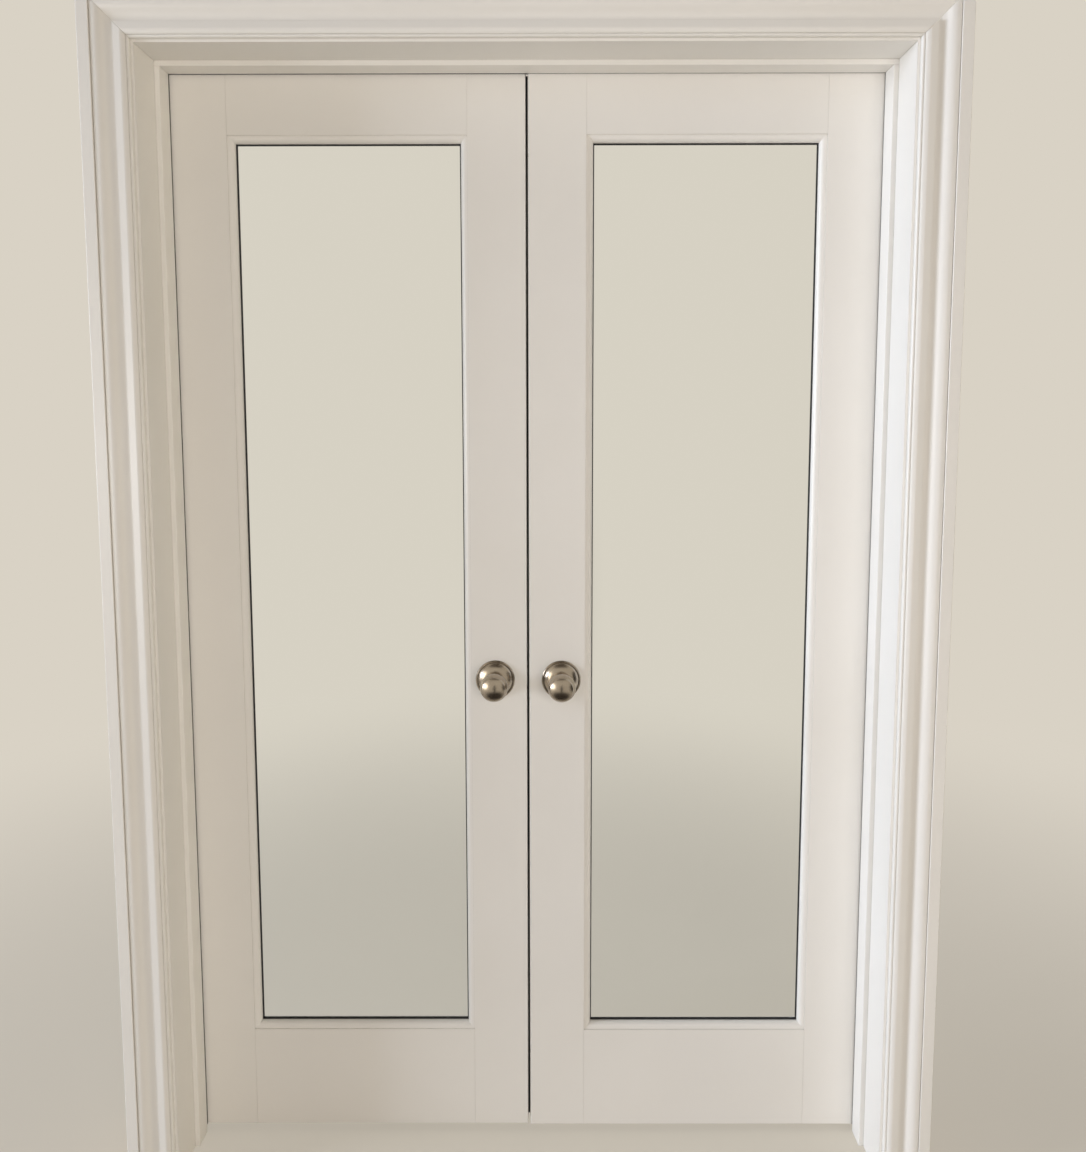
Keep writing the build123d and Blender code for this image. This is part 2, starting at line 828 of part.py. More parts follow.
# Lock stiles: the left one bored for the latch, the right one mortised for strike and bolts

with BuildPart() as left_lock_stile:
    add(mirrored(lock_stile_blank.part, left_setback).part)
    with BuildSketch(latch_plane.offset(-lock_bevel)):
        RectangleRounded(faceplate_width, faceplate_height, faceplate_corner)
    extrude(amount=faceplate_thickness + lock_bevel, mode=Mode.SUBTRACT)
    with BuildSketch(latch_plane):
        Circle(latch_radius)
    extrude(amount=latch_case_length + faceplate_thickness, mode=Mode.SUBTRACT)
    with BuildSketch(Plane(origin=(-knob_x, left_near, knob_z), z_dir=(0, 1, 0))):
        Circle(cross_bore_radius)
    extrude(amount=leaf_thickness, mode=Mode.SUBTRACT)
    with BuildSketch(Plane.XY.offset(leaf_bottom)):
        with Locations((-leaf_lock_x - seal_kerf_depth, left_far - seal_inset)):
            Rectangle(2 * seal_kerf_depth, seal_kerf, align=(Align.MIN, Align.CENTER))
    extrude(amount=leaf_height, mode=Mode.SUBTRACT)

with BuildPart() as right_lock_stile:
    add(lock_stile_blank.part)
    with BuildSketch(strike_plane.offset(-lock_bevel)):
        RectangleRounded(faceplate_width, strike_height, faceplate_corner)
    extrude(amount=strike_thickness + lock_bevel, mode=Mode.SUBTRACT)
    with BuildSketch(strike_plane):
        with Locations((left_setback, 0)):
            Rectangle(strike_hole_width, strike_hole_height)
    extrude(amount=strike_pocket, mode=Mode.SUBTRACT)
    case_reach = bolt_case_depth + lock_bevel
    for end_z, side in ((leaf_top, Align.MAX), (leaf_bottom, Align.MIN)):
        with Locations((edge_plate_x + bolt_case_depth, leaf_middle, end_z)):
            Box(
                case_reach,
                bolt_case_width,
                bolt_case_height,
                align=(Align.MAX, Align.CENTER, side),
                mode=Mode.SUBTRACT,
            )
    add(dummy_stud.part, mode=Mode.SUBTRACT)

with BuildPart() as meeting_seal:
    edge_x = -leaf_lock_x - lock_bevel
    with BuildSketch(Plane.XY.offset(leaf_bottom)):
        with Locations((edge_x, left_far - seal_inset)):
            Rectangle(
                seal_thickness + lock_bevel, seal_width, align=(Align.MIN, Align.CENTER)
            )
        with Locations((-leaf_lock_x - seal_kerf_depth, left_far - seal_inset)):
            Rectangle(seal_kerf_depth, seal_kerf, align=(Align.MIN, Align.CENTER))
    extrude(amount=leaf_height)
    add(left_lock_stile.part, mode=Mode.SUBTRACT)

# Hinge stile of the left leaf, nicked at its foot beside the rail

with BuildPart() as left_hinge_stile:
    add(mirrored(right_hinge_stile.part, left_setback).part)
    with Locations((-hinge_face_x - nick_radius, left_near, leaf_bottom)):
        Sphere(nick_radius, mode=Mode.SUBTRACT)

# Right-hand pieces that the left side repeats as a mirror image

left_stop = mirrored(right_stop.part)
front_casing_left = mirrored(front_casing_right.part)
back_casing_left = mirrored(back_casing_right.part)
left_frame_hinge_plates = mirrored(right_frame_hinge_plates.part, left_setback)
left_door_hinge_plates = mirrored(right_door_hinge_plates.part, left_setback)
left_hinge_pins = mirrored(right_hinge_pins.part, left_setback)
left_frame_hinge_screws = mirrored(right_frame_hinge_screws.part, left_setback)
left_door_hinge_screws = mirrored(right_door_hinge_screws.part, left_setback)
left_top_rail = mirrored(right_top_rail.part, left_setback)
left_bottom_rail = mirrored(right_bottom_rail.part, left_setback)
left_glass = mirrored(right_glass.part, left_setback)
left_gasket = mirrored(right_gasket.part, left_setback)
left_glazing_beads = mirrored(right_glazing_beads.part, left_setback)
left_near_rose = mirrored(right_near_rose.part, left_setback)
left_far_rose = mirrored(right_far_rose.part, left_setback)

pieces = {
    "left_jamb": left_jamb,
    "right_jamb": right_jamb,
    "head_jamb": head_jamb,
    "left_stop": left_stop,
    "right_stop": right_stop,
    "head_stop": head_stop,
    "left_stop_seal": left_stop_seal,
    "right_stop_seal": right_stop_seal,
    "front_casing_left": front_casing_left,
    "front_casing_right": front_casing_right,
    "front_casing_head": front_casing_head,
    "back_casing_left": back_casing_left,
    "back_casing_right": back_casing_right,
    "back_casing_head": back_casing_head,
    "left_frame_hinge_plates": left_frame_hinge_plates,
    "right_frame_hinge_plates": right_frame_hinge_plates,
    "left_hinge_pins": left_hinge_pins,
    "right_hinge_pins": right_hinge_pins,
    "left_frame_hinge_screws": left_frame_hinge_screws,
    "right_frame_hinge_screws": right_frame_hinge_screws,
    "head_bolt_strike": head_bolt_strike,
    "left_hinge_stile": left_hinge_stile,
    "left_lock_stile": left_lock_stile,
    "left_top_rail": left_top_rail,
    "left_bottom_rail": left_bottom_rail,
    "left_glass": left_glass,
    "left_gasket": left_gasket,
    "left_glazing_beads": left_glazing_beads,
    "left_door_hinge_plates": left_door_hinge_plates,
    "left_door_hinge_screws": left_door_hinge_screws,
    "meeting_seal": meeting_seal,
    "latch_case": latch_case,
    "latch_faceplate": latch_faceplate,
    "latch_bolt": latch_bolt,
    "left_near_rose": left_near_rose,
    "left_far_rose": left_far_rose,
    "left_rose_bolts": left_rose_bolts,
    "left_near_knob": left_near_knob,
    "left_far_knob": left_far_knob,
    "spindle": spindle,
    "right_hinge_stile": right_hinge_stile,
    "right_lock_stile": right_lock_stile,
    "right_top_rail": right_top_rail,
    "right_bottom_rail": right_bottom_rail,
    "right_glass": right_glass,
    "right_gasket": right_gasket,
    "right_glazing_beads": right_glazing_beads,
    "right_door_hinge_plates": right_door_hinge_plates,
    "right_door_hinge_screws": right_door_hinge_screws,
    "strike_plate": strike_plate,
    "right_near_rose": right_near_rose,
    "right_far_rose": right_far_rose,
    "right_near_knob": right_near_knob,
    "right_far_knob": right_far_knob,
    "dummy_stud": dummy_stud,
    "top_bolt_case": top_bolt_case,
    "top_bolt_rod": top_bolt_rod,
    "bottom_bolt_case": bottom_bolt_case,
    "bottom_bolt_rod": bottom_bolt_rod,
}
for label, piece in pieces.items():
    piece.part.label = label
    export_step(piece.part, f"parts/{label}.step")
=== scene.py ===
"""Glazed double doors in their frame: finishes, small fittings, studio and camera.

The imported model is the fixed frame. Lengths are in metres, or in millimetres where a name
ends in _mm. Where a finish has two numbers for its roughness, its open air or its late rings,
they are the least and the most.
"""

import logging
import math
from collections.abc import Sequence
from dataclasses import dataclass
from enum import Enum

import bmesh
import bpy
from mathutils import Matrix, Vector


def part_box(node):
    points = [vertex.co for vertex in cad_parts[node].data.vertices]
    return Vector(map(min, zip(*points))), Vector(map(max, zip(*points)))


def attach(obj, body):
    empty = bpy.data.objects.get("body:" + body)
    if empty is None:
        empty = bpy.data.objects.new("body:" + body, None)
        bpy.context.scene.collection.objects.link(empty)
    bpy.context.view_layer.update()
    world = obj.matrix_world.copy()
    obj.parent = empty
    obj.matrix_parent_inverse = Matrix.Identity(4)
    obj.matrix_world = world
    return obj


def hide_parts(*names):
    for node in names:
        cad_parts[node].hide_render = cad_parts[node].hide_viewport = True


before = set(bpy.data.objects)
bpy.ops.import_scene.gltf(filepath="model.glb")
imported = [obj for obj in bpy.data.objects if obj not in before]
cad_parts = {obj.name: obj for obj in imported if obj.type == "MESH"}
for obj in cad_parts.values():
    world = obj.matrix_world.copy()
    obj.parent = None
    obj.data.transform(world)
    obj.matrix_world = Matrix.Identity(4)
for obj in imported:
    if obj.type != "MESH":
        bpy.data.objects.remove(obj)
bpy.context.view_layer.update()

log = logging.getLogger("french_doors")

MM = 0.001
RIGHT = Vector((1.0, 0.0, 0.0))
BACK = Vector((0.0, 1.0, 0.0))
UP = Vector((0.0, 0.0, 1.0))

# Vertices of a CAD mesh this near to each other are one
WELD = 0.001 * MM

# A face looks toward the wall if its normal leans that way by more than this
TOWARD_WALL = 0.5

# Rays that a painted-shade (ambient occlusion) or bevel node traces at each sample
PROBES = 4

# Sockets of the Mix node while it mixes colours, because their names repeat
SHARE, FIRST, SECOND, MIXED = 0, 6, 7, 2

Point = tuple[float, float, float]


class Side(Enum):
    """One side of the pair, seen from the side with the stops."""

    LEFT = "left"
    RIGHT = "right"

    @property
    def outward(self) -> Vector:
        """Direction from the middle of the pair to this side's jamb."""
        return Vector((-1.0 if self is Side.LEFT else 1.0, 0.0, 0.0))


class Grain(Enum):
    """Direction of a board, along which its grain and its brush marks run."""

    UPRIGHT = "upright"
    LEVEL = "level"

    def stretch(self, width_mm: float, length_mm: float) -> Point:
        """Work out the texture scale of marks that run along the board.

        Args:
            width_mm: Size of one mark across the board.
            length_mm: Its size along the board.

        Returns:
            The scale along X, Y and Z.
        """
        across, along = per_metre(width_mm), per_metre(length_mm)
        return (across, across, along) if self is Grain.UPRIGHT else (along, across, across)


class Lay(Enum):
    """Direction of the fine scratches that a metal's finishing leaves."""

    TURNED = "turned"
    BRUSHED = "brushed"


# A finish for the boards of each grain
Boards = dict[Grain, bpy.types.Material]


def linear(hex_colour: str) -> tuple[float, float, float, float]:
    """Turn an sRGB hex colour into linear RGBA.

    Args:
        hex_colour: Colour written as #RRGGBB.

    Returns:
        The linear red, green and blue, with an alpha of 1.
    """
    parts = [int(hex_colour[i : i + 2], 16) / 255 for i in (1, 3, 5)]
    red, green, blue = (
        c / 12.92 if c <= 0.04045 else ((c + 0.055) / 1.055) ** 2.4 for c in parts
    )
    return (red, green, blue, 1.0)


def per_metre(size_mm: float) -> float:
    """Texture scale at which one feature measures size_mm."""
    return 1.0 / (size_mm * MM)


def facing(place: Point, target: Point) -> Matrix:
    """Place a thing so that its -Z side faces a target."""
    aim = Vector(target) - Vector(place)
    return Matrix.Translation(place) @ aim.to_track_quat("-Z", "Y").to_matrix().to_4x4()


def add_node(
    tree: bpy.types.NodeTree, kind: str, inputs: dict | None = None, **settings
) -> bpy.types.Node:
    """Add one node with its settings, values and links.

    Args:
        tree: Tree that gets the node.
        kind: Blender's name of the node type.
        inputs: Value, or output socket to link, by the input's name or index.
        **settings: Properties set on the node itself.

    Returns:
        The new node.
    """
    node = tree.nodes.new(kind)
    for name, value in settings.items():
        setattr(node, name, value)
    for socket, value in (inputs or {}).items():
        if isinstance(value, bpy.types.NodeSocket):
            tree.links.new(value, node.inputs[socket])
        else:
            node.inputs[socket].default_value = value
    return node


def new_material(name: str) -> tuple[bpy.types.Material, bpy.types.NodeTree]:
    """Make an empty node material.

    Args:
        name: Name of the material.

    Returns:
        The material and its node tree, with no nodes in it.
    """
    material = bpy.data.materials.new(name)
    material.use_nodes = True
    material.node_tree.nodes.clear()
    return material, material.node_tree


def close_material(tree: bpy.types.NodeTree, shader: bpy.types.Node) -> None:
    """Link a shader node's first output to the material's surface."""
    add_node(tree, "ShaderNodeOutputMaterial", {"Surface": shader.outputs[0]})


def shows_backdrop(tree: bpy.types.NodeTree) -> bpy.types.NodeSocket:
    """Tell the rays that see the backdrop's plain colour from those that light the doors.

    Args:
        tree: Tree of the material or of the world.

    Returns:
        A factor of 1 for rays from the camera, off shiny things and through glass.
    """
    path = add_node(tree, "ShaderNodeLightPath")
    shown = path.outputs["Is Camera Ray"]
    for ray in ("Is Glossy Ray", "Is Transmission Ray"):
        shown = add_node(
            tree, "ShaderNodeMath", {0: shown, 1: path.outputs[ray]}, operation="MAXIMUM"
        ).outputs[0]
    return shown


@dataclass(frozen=True)
class SemiGlossPaint:
    """Acrylic enamel brushed and rolled on primed timber.

    The eye gets a warm white with a soft satin shine, faint brush marks along each board, a
    fine stipple from the roller, eased arrises, and painted shade that darkens the quirks.
    """

    grain: Grain
    colour: str = "#F0EEEA"
    aged: str = "#E8E5DF"
    quirk_shade: str = "#8F8474"
    roughness: tuple[float, float] = (0.31, 0.43)
    ior: float = 1.5
    brush_width_mm: float = 1.6
    brush_length_mm: float = 90.0
    brush_depth_mm: float = 0.12
    brush_strength: float = 0.22
    stipple_mm: float = 1.8
    stipple_depth_mm: float = 0.1
    stipple_strength: float = 0.16
    patch_mm: float = 320.0
    arris_mm: float = 0.7
    quirk_mm: float = 4.0
    quirk_air: tuple[float, float] = (0.15, 0.75)
    most_quirk_shade: float = 0.42

    def build(self) -> bpy.types.Material:
        """Build the paint for boards that run along the grain's direction.

        Returns:
            The material.
        """
        material, tree = new_material(f"semi_gloss_paint_{self.grain.value}")
        place = add_node(tree, "ShaderNodeTexCoord").outputs["Object"]
        patch = add_node(
            tree,
            "ShaderNodeTexNoise",
            {"Vector": place, "Scale": per_metre(self.patch_mm), "Detail": 4.0},
        ).outputs[0]
        low, high = self.roughness
        shine = add_node(
            tree, "ShaderNodeMapRange", {"Value": patch, "To Min": low, "To Max": high}
        ).outputs[0]
        shader = add_node(
            tree,
            "ShaderNodeBsdfPrincipled",
            {
                "Base Color": self.tint(tree, patch),
                "Roughness": shine,
                "Normal": self.skin(tree, place),
                "IOR": self.ior,
            },
        )
        close_material(tree, shader)
        return material

    def tint(
        self, tree: bpy.types.NodeTree, patch: bpy.types.NodeSocket
    ) -> bpy.types.NodeSocket:
        """Mix the white, its aged patches and the painted shade in the quirks.

        Args:
            tree: Tree of the material.
            patch: Pattern of the aged patches.

        Returns:
            The colour.
        """
        coat = add_node(
            tree,
            "ShaderNodeMix",
            {SHARE: patch, FIRST: linear(self.colour), SECOND: linear(self.aged)},
            data_type="RGBA",
        ).outputs[MIXED]
        # Painted shade: where ambient occlusion finds little open air, the white turns toward a
        # grey-brown
        open_air = add_node(
            tree,
            "ShaderNodeAmbientOcclusion",
            {"Distance": self.quirk_mm * MM},
            samples=PROBES,
        ).outputs["AO"]
        low, high = self.quirk_air
        quirk_shade_share = add_node(
            tree,
            "ShaderNodeMapRange",
            {
                "Value": open_air,
                "From Min": low,
                "From Max": high,
                "To Min": self.most_quirk_shade,
                "To Max": 0.0,
            },
        ).outputs[0]
        return add_node(
            tree,
            "ShaderNodeMix",
            {SHARE: quirk_shade_share, FIRST: coat, SECOND: linear(self.quirk_shade)},
            data_type="RGBA",
        ).outputs[MIXED]

    def skin(
        self, tree: bpy.types.NodeTree, place: bpy.types.NodeSocket
    ) -> bpy.types.NodeSocket:
        """Raise the brush marks and the roller's stipple on the eased edges.

        Args:
            tree: Tree of the material.
            place: Where on the board the surface is.

        Returns:
            The normal.
        """
        stretch = self.grain.stretch(self.brush_width_mm, self.brush_length_mm)
        drawn = add_node(
            tree, "ShaderNodeMapping", {"Vector": place, "Scale": stretch}
        ).outputs[0]
        brush = add_node(
            tree, "ShaderNodeTexNoise", {"Vector": drawn, "Scale": 1.0, "Detail": 3.0}
        ).outputs[0]
        stipple = add_node(
            tree,
            "ShaderNodeTexNoise",
            {"Vector": place, "Scale": per_metre(self.stipple_mm), "Detail": 1.0},
        ).outputs[0]
        normal = add_node(
            tree, "ShaderNodeBevel", {"Radius": self.arris_mm * MM}, samples=PROBES
        ).outputs[0]
        for height, depth_mm, strength in (
            (brush, self.brush_depth_mm, self.brush_strength),
            (stipple, self.stipple_depth_mm, self.stipple_strength),
        ):
            normal = add_node(
                tree,
                "ShaderNodeBump",
                {
                    "Strength": strength,
                    "Distance": depth_mm * MM,
                    "Height": height,
                    "Normal": normal,
                },
            ).outputs[0]
        return normal


@dataclass(frozen=True)
class SawnPine:
    """Pine left bare where a wall hides it.

    The eye gets dull straw-coloured timber with darker late wood in streaks along the board.
    """

    grain: Grain
    early_wood: str = "#D8BD93"
    late_wood: str = "#B48F5E"
    late_rings: tuple[float, float] = (0.42, 0.66)
    roughness: tuple[float, float] = (0.62, 0.8)
    ring_mm: float = 5.0
    streak_mm: float = 260.0
    waver: float = 0.6
    fibre_mm: float = 0.9
    fibre_depth_mm: float = 0.3
    fibre_strength: float = 0.4

    def build(self) -> bpy.types.Material:
        """Build the pine for boards that run along the grain's direction.

        Returns:
            The material.
        """
        material, tree = new_material(f"sawn_pine_{self.grain.value}")
        place = add_node(tree, "ShaderNodeTexCoord").outputs["Object"]
        stretch = self.grain.stretch(self.ring_mm, self.streak_mm)
        drawn = add_node(
            tree, "ShaderNodeMapping", {"Vector": place, "Scale": stretch}
        ).outputs[0]
        rings = add_node(
            tree,
            "ShaderNodeTexNoise",
            {"Vector": drawn, "Scale": 1.0, "Detail": 5.0, "Distortion": self.waver},
        ).outputs[0]
        low, high = self.late_rings
        late = add_node(
            tree, "ShaderNodeMapRange", {"Value": rings, "From Min": low, "From Max": high}
        ).outputs[0]
        base = add_node(
            tree,
            "ShaderNodeMix",
            {SHARE: late, FIRST: linear(self.early_wood), SECOND: linear(self.late_wood)},
            data_type="RGBA",
        ).outputs[MIXED]
        fibre = add_node(
            tree,
            "ShaderNodeTexNoise",
            {"Vector": place, "Scale": per_metre(self.fibre_mm), "Detail": 2.0},
        ).outputs[0]
        low, high = self.roughness
        rough = add_node(
            tree, "ShaderNodeMapRange", {"Value": rings, "To Min": low, "To Max": high}
        ).outputs[0]
        sawn = add_node(
            tree,
            "ShaderNodeBump",
            {
                "Strength": self.fibre_strength,
                "Distance": self.fibre_depth_mm * MM,
                "Height": fibre,
            },
        ).outputs[0]
        shader = add_node(
            tree,
            "ShaderNodeBsdfPrincipled",
            {"Base Color": base, "Roughness": rough, "Normal": sawn},
        )
        close_material(tree, shader)
        return material


@dataclass(frozen=True)
class FloatGlass:
    """Clear float glass, fire-finished on both faces.

    The eye gets a flat pane with a faint green body and a sharp, weak reflection.
    """

    body: str = "#FCFEFD"
    let_through: str = "#F8FCFA"
    ior: float = 1.52

    def build(self) -> bpy.types.Material:
        """Build the glass, which lets lamps light what stands behind it.

        Returns:
            The material.
        """
        material, tree = new_material("clear_float_glass")
        pane = add_node(
            tree,
            "ShaderNodeBsdfPrincipled",
            {
                "Base Color": linear(self.body),
                "Roughness": 0.0,
                "IOR": self.ior,
                "Transmission Weight": 1.0,
            },
        )
        clear = add_node(
            tree, "ShaderNodeBsdfTransparent", {"Color": linear(self.let_through)}
        )
        shadow = add_node(tree, "ShaderNodeLightPath").outputs["Is Shadow Ray"]
        mixed = add_node(
            tree,
            "ShaderNodeMixShader",
            {0: shadow, 1: pane.outputs[0], 2: clear.outputs[0]},
        )
        close_material(tree, mixed)
        return material


@dataclass(frozen=True)
class ExtrudedRubber:
    """Black rubber extruded as a strip.

    The eye gets a dull black that hardly shines, a little greyer in patches.
    """

    colour: str = "#17171A"
    bloom: str = "#2A2A2C"
    roughness: tuple[float, float] = (0.5, 0.68)
    ior: float = 1.52
    grit_mm: float = 1.2
    grit_depth_mm: float = 0.15
    grit_strength: float = 0.25
    patch_mm: float = 60.0

    def build(self) -> bpy.types.Material:
        """Build the rubber.

        Returns:
            The material.
        """
        material, tree = new_material("extruded_black_rubber")
        place = add_node(tree, "ShaderNodeTexCoord").outputs["Object"]
        patch = add_node(
            tree,
            "ShaderNodeTexNoise",
            {"Vector": place, "Scale": per_metre(self.patch_mm), "Detail": 3.0},
        ).outputs[0]
        grit = add_node(
            tree,
            "ShaderNodeTexNoise",
            {"Vector": place, "Scale": per_metre(self.grit_mm), "Detail": 2.0},
        ).outputs[0]
        base = add_node(
            tree,
            "ShaderNodeMix",
            {SHARE: patch, FIRST: linear(self.colour), SECOND: linear(self.bloom)},
            data_type="RGBA",
        ).outputs[MIXED]
        low, high = self.roughness
        rough = add_node(
            tree, "ShaderNodeMapRange", {"Value": patch, "To Min": low, "To Max": high}
        ).outputs[0]
        skin = add_node(
            tree,
            "ShaderNodeBump",
            {
                "Strength": self.grit_strength,
                "Distance": self.grit_depth_mm * MM,
                "Height": grit,
            },
        ).outputs[0]
        shader = add_node(
            tree,
            "ShaderNodeBsdfPrincipled",
            {"Base Color": base, "Roughness": rough, "Normal": skin, "IOR": self.ior},
        )
        close_material(tree, shader)
        return material


@dataclass(frozen=True)
class SatinNickel:
    """Brass plated with nickel and finished with a fine abrasive.

    The eye gets a warm grey metal whose reflections blur across the scratches: rings on what
    was turned, straight lines on plates. Its grooves are darkened by painted shade. The real
    scratches of about 0.1 mm are drawn coarser,
    so that they show.
    """

    lay: Lay
    axis: tuple[float, float] = (0.0, 0.0)
    colour: str = "#BAAFA0"
    worn: str = "#A89C8D"
    groove_shade: str = "#3A332C"
    roughness: tuple[float, float] = (0.2, 0.3)
    scratch_mm: float = 0.5
    scratch_depth_mm: float = 0.04
    scratch_strength: float = 0.12
    brushed_squeeze: float = 0.02
    patch_mm: float = 25.0
    groove_mm: float = 5.0
    groove_air: tuple[float, float] = (0.25, 0.85)
    most_groove_shade: float = 0.85

    def build(self) -> bpy.types.Material:
        """Build the metal, with rings about axis, an X and a Z, if it was turned.

        Returns:
            The material.
        """
        name = f"satin_nickel_{self.lay.value}"
        if self.lay is Lay.TURNED:
            name += "_left" if self.axis[0] < 0 else "_right"
        material, tree = new_material(name)
        place = add_node(tree, "ShaderNodeTexCoord").outputs["Object"]
        pattern = self.rings if self.lay is Lay.TURNED else self.lines
        along_lay = pattern(tree, place)
        scratch = add_node(
            tree,
            "ShaderNodeTexNoise",
            {"Vector": along_lay, "Scale": per_metre(self.scratch_mm), "Detail": 3.0},
        ).outputs[0]
        low, high = self.roughness
        rough = add_node(
            tree, "ShaderNodeMapRange", {"Value": scratch, "To Min": low, "To Max": high}
        ).outputs[0]
        skin = add_node(
            tree,
            "ShaderNodeBump",
            {
                "Strength": self.scratch_strength,
                "Distance": self.scratch_depth_mm * MM,
                "Height": scratch,
            },
        ).outputs[0]
        shader = add_node(
            tree,
            "ShaderNodeBsdfPrincipled",
            {
                "Base Color": self.tint(tree, place),
                "Metallic": 1.0,
                "Roughness": rough,
                "Normal": skin,
            },
        )
        close_material(tree, shader)
        return material

    def rings(
        self, tree: bpy.types.NodeTree, place: bpy.types.NodeSocket
    ) -> bpy.types.NodeSocket:
        """Measure the distance from the axis of what was turned.

        Args:
            tree: Tree of the material.
            place: Where the surface is.

        Returns:
            A place that changes only with that distance.
        """
        centred = add_node(
            tree,
            "ShaderNodeVectorMath",
            {0: place, 1: (self.axis[0], 0.0, self.axis[1])},
            operation="SUBTRACT",
        ).outputs[0]
        flat = add_node(
            tree, "ShaderNodeVectorMath", {0: centred, 1: (1.0, 0.0, 1.0)}, operation="MULTIPLY"
        ).outputs[0]
        radius = add_node(
            tree, "ShaderNodeVectorMath", {0: flat}, operation="LENGTH"
        ).outputs["Value"]
        return add_node(tree, "ShaderNodeCombineXYZ", {"X": radius}).outputs[0]

    def lines(
        self, tree: bpy.types.NodeTree, place: bpy.types.NodeSocket
    ) -> bpy.types.NodeSocket:
        """Draw a plate's scratches out along its height, by squeezing the place."""
        squeeze = (1.0, 1.0, self.brushed_squeeze)
        return add_node(
            tree, "ShaderNodeMapping", {"Vector": place, "Scale": squeeze}
        ).outputs[0]

    def tint(
        self, tree: bpy.types.NodeTree, place: bpy.types.NodeSocket
    ) -> bpy.types.NodeSocket:
        """Mix the plating, its worn patches and the painted shade in the grooves.

        Args:
            tree: Tree of the material.
            place: Where the surface is.

        Returns:
            The colour.
        """
        patch = add_node(
            tree,
            "ShaderNodeTexNoise",
            {"Vector": place, "Scale": per_metre(self.patch_mm), "Detail": 3.0},
        ).outputs[0]
        base = add_node(
            tree,
            "ShaderNodeMix",
            {SHARE: patch, FIRST: linear(self.colour), SECOND: linear(self.worn)},
            data_type="RGBA",
        ).outputs[MIXED]
        # Painted shade: where ambient occlusion finds little open air, the plating turns toward a
        # dark brown
        open_air = add_node(
            tree,
            "ShaderNodeAmbientOcclusion",
            {"Distance": self.groove_mm * MM},
            samples=PROBES,
        ).outputs["AO"]
        low, high = self.groove_air
        groove_shade_share = add_node(
            tree,
            "ShaderNodeMapRange",
            {
                "Value": open_air,
                "From Min": low,
                "From Max": high,
                "To Min": self.most_groove_shade,
                "To Max": 0.0,
            },
        ).outputs[0]
        return add_node(
            tree,
            "ShaderNodeMix",
            {SHARE: groove_shade_share, FIRST: base, SECOND: linear(self.groove_shade)},
            data_type="RGBA",
        ).outputs[MIXED]


@dataclass(frozen=True)
class ZincPlate:
    """Steel with a thin zinc plating, as on screws and inner parts.

    The eye gets a cool, slightly cloudy grey metal.
    """

    colour: str = "#B9BBBE"
    cloudy: str = "#9FA2A6"
    roughness: tuple[float, float] = (0.28, 0.45)
    cloud_mm: float = 4.0

    def build(self) -> bpy.types.Material:
        """Build the plated steel.

        Returns:
            The material.
        """
        material, tree = new_material("zinc_plated_steel")
        place = add_node(tree, "ShaderNodeTexCoord").outputs["Object"]
        cloud = add_node(
            tree,
            "ShaderNodeTexNoise",
            {"Vector": place, "Scale": per_metre(self.cloud_mm), "Detail": 3.0},
        ).outputs[0]
        base = add_node(
            tree,
            "ShaderNodeMix",
            {SHARE: cloud, FIRST: linear(self.colour), SECOND: linear(self.cloudy)},
            data_type="RGBA",
        ).outputs[MIXED]
        low, high = self.roughness
        rough = add_node(
            tree, "ShaderNodeMapRange", {"Value": cloud, "To Min": low, "To Max": high}
        ).outputs[0]
        shader = add_node(
            tree,
            "ShaderNodeBsdfPrincipled",
            {"Base Color": base, "Metallic": 1.0, "Roughness": rough},
        )
        close_material(tree, shader)
        return material


@dataclass(frozen=True)
class StudioPaper:
    """Seamless matt paper of the floor, which fades into the backdrop's own colour.

    The eye gets a plain pale ground that keeps the doors' shadow, softened by the veil, the
    least share of its own even tone that it shows anywhere.
    """

    colour: str
    veil: float = 0.5
    clear_radius: float = 1.0
    fade_radius: float = 3.2
    roughness: float = 0.9
    specular: float = 0.1

    def build(self) -> bpy.types.Material:
        """Build the paper, round the middle of the doors.

        Returns:
            The material.
        """
        material, tree = new_material("seamless_matt_paper")
        place = add_node(tree, "ShaderNodeTexCoord").outputs["Object"]
        reach = add_node(
            tree, "ShaderNodeVectorMath", {0: place}, operation="LENGTH"
        ).outputs["Value"]
        fade = add_node(
            tree,
            "ShaderNodeMapRange",
            {
                "Value": reach,
                "From Min": self.clear_radius,
                "From Max": self.fade_radius,
                "To Min": self.veil,
            },
            interpolation_type="SMOOTHSTEP",
        ).outputs[0]
        share = add_node(
            tree, "ShaderNodeMath", {0: fade, 1: shows_backdrop(tree)}, operation="MULTIPLY"
        ).outputs[0]
        matt = add_node(
            tree,
            "ShaderNodeBsdfPrincipled",
            {
                "Base Color": linear(self.colour),
                "Roughness": self.roughness,
                "Specular IOR Level": self.specular,
            },
        )
        glow = add_node(
            tree, "ShaderNodeEmission", {"Color": linear(self.colour), "Strength": 1.0}
        )
        mixed = add_node(
            tree,
            "ShaderNodeMixShader",
            {0: share, 1: matt.outputs[0], 2: glow.outputs[0]},
        )
        close_material(tree, mixed)
        return material


